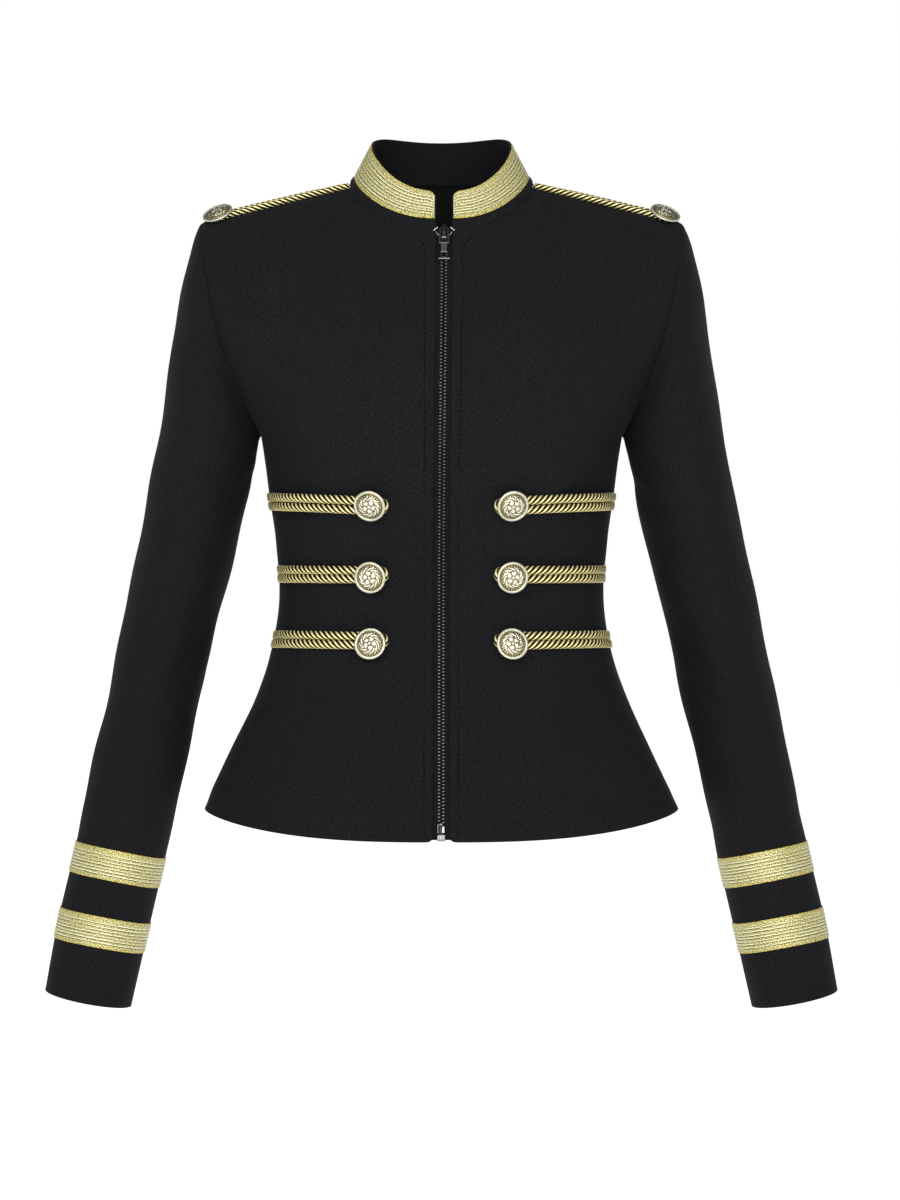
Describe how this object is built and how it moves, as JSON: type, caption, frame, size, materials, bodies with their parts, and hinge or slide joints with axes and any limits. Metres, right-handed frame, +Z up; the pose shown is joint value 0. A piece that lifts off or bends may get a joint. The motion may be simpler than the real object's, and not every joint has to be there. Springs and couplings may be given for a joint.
{
  "type": "blazer",
  "caption": "Fitted band-collar jacket with a front zip, flared hem, metallic braid on collar and cuffs, doubled cord loops and domed buttons, in its worn, hollow form.",
  "frame": {"origin": "where the shoulders carry the jacket: on its middle plane, between the two shoulder seams at the side of the neck", "axes": "+Z up along the worn jacket, the front faces -Y, +X is the wearer's left"},
  "size_m": [0.612, 0.2777, 0.6782],
  "materials": {
    "crepe": "near-black crepe with a fine crosswise rib, matt with a slight sheen",
    "zip_tape": "black woven herringbone tape",
    "gold_braid": "pale gold metallic woven ribbon with lengthwise ridges",
    "gold_cord": "gold metallic cord of twisted strands",
    "pale_gold_metal": "polished pale gold plating, darker in the hollows",
    "zip_teeth": "dark oxidised metal",
    "gunmetal": "gunmetal plating with bright worn edges",
    "steel": "bright plated steel"
  },
  "bodies": {
    "garment": {"front_left": "crepe", "front_right": "crepe", "back_left": "crepe", "back_right": "crepe", "sleeve_left": "crepe", "sleeve_right": "crepe", "collar": "crepe", "zip_tape_left": "zip_tape", "zip_tape_right": "zip_tape", "collar_braid": "gold_braid", "cuff_braid_lower_left": "gold_braid", "cuff_braid_lower_right": "gold_braid", "cuff_braid_upper_left": "gold_braid", "cuff_braid_upper_right": "gold_braid", "cord_loop_1_left": "gold_cord", "cord_loop_1_right": "gold_cord", "cord_loop_2_left": "gold_cord", "cord_loop_2_right": "gold_cord", "cord_loop_3_left": "gold_cord", "cord_loop_3_right": "gold_cord", "shoulder_cord_left": "gold_cord", "shoulder_cord_right": "gold_cord", "button_1_left": "pale_gold_metal", "button_1_right": "pale_gold_metal", "button_2_left": "pale_gold_metal", "button_2_right": "pale_gold_metal", "button_3_left": "pale_gold_metal", "button_3_right": "pale_gold_metal", "shoulder_button_left": "pale_gold_metal", "shoulder_button_right": "pale_gold_metal", "zip_chain": "zip_teeth", "zip_slider": "gunmetal", "zip_box": "steel"},
    "zip_pull": {"zip_pull": "gunmetal"}
  },
  "joints": [
    {"name": "zip_pull_swing", "type": "hinge", "parent": "garment", "child": "zip_pull", "pos_m": [0, -0.07065, -0.04563], "axis": [-1, 0, 0], "range_deg": [0, 165]}
  ]
}
